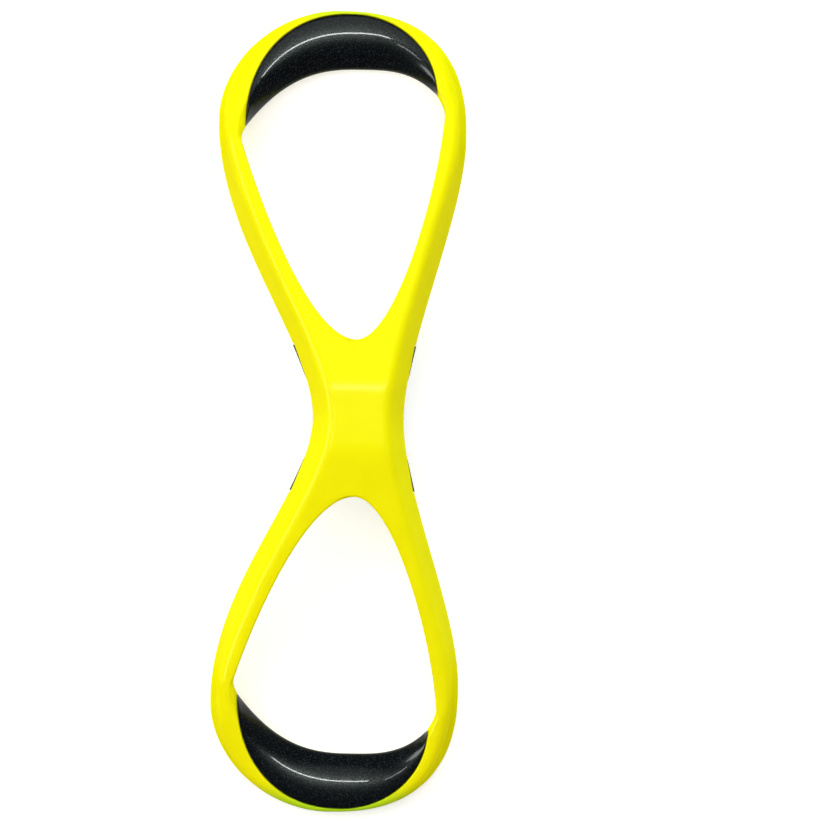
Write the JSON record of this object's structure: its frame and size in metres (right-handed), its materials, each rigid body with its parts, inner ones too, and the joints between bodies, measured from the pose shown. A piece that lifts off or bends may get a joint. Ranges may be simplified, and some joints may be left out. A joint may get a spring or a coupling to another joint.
{
  "type": "forearm and wrist alignment swim trainer",
  "caption": "Rigid figure-eight swim trainer, folded at the waist, that is worn on one arm: the hand and forearm go through its loops and rest on soft end pads.",
  "frame": {"origin": "middle of the bounding box, at the level of the ends that it stands on", "axes": "+Y along the arm towards the forearm pad, +Z out of the front (convex) face of the waist, +X to the right seen from the front"},
  "size_m": [0.1064, 0.3442, 0.0357],
  "materials": {
    "frame": "satin lemon yellow moulding",
    "cover": "satin lemon yellow moulding",
    "end_pad": "glossy black with fine grey specks",
    "wrist_pad": "matt black"
  },
  "bodies": {
    "root": {"frame_shell": "frame", "back_cover": "cover", "forearm_pad": "end_pad", "hand_pad": "end_pad", "wrist_pad": "wrist_pad"}
  },
  "joints": []
}
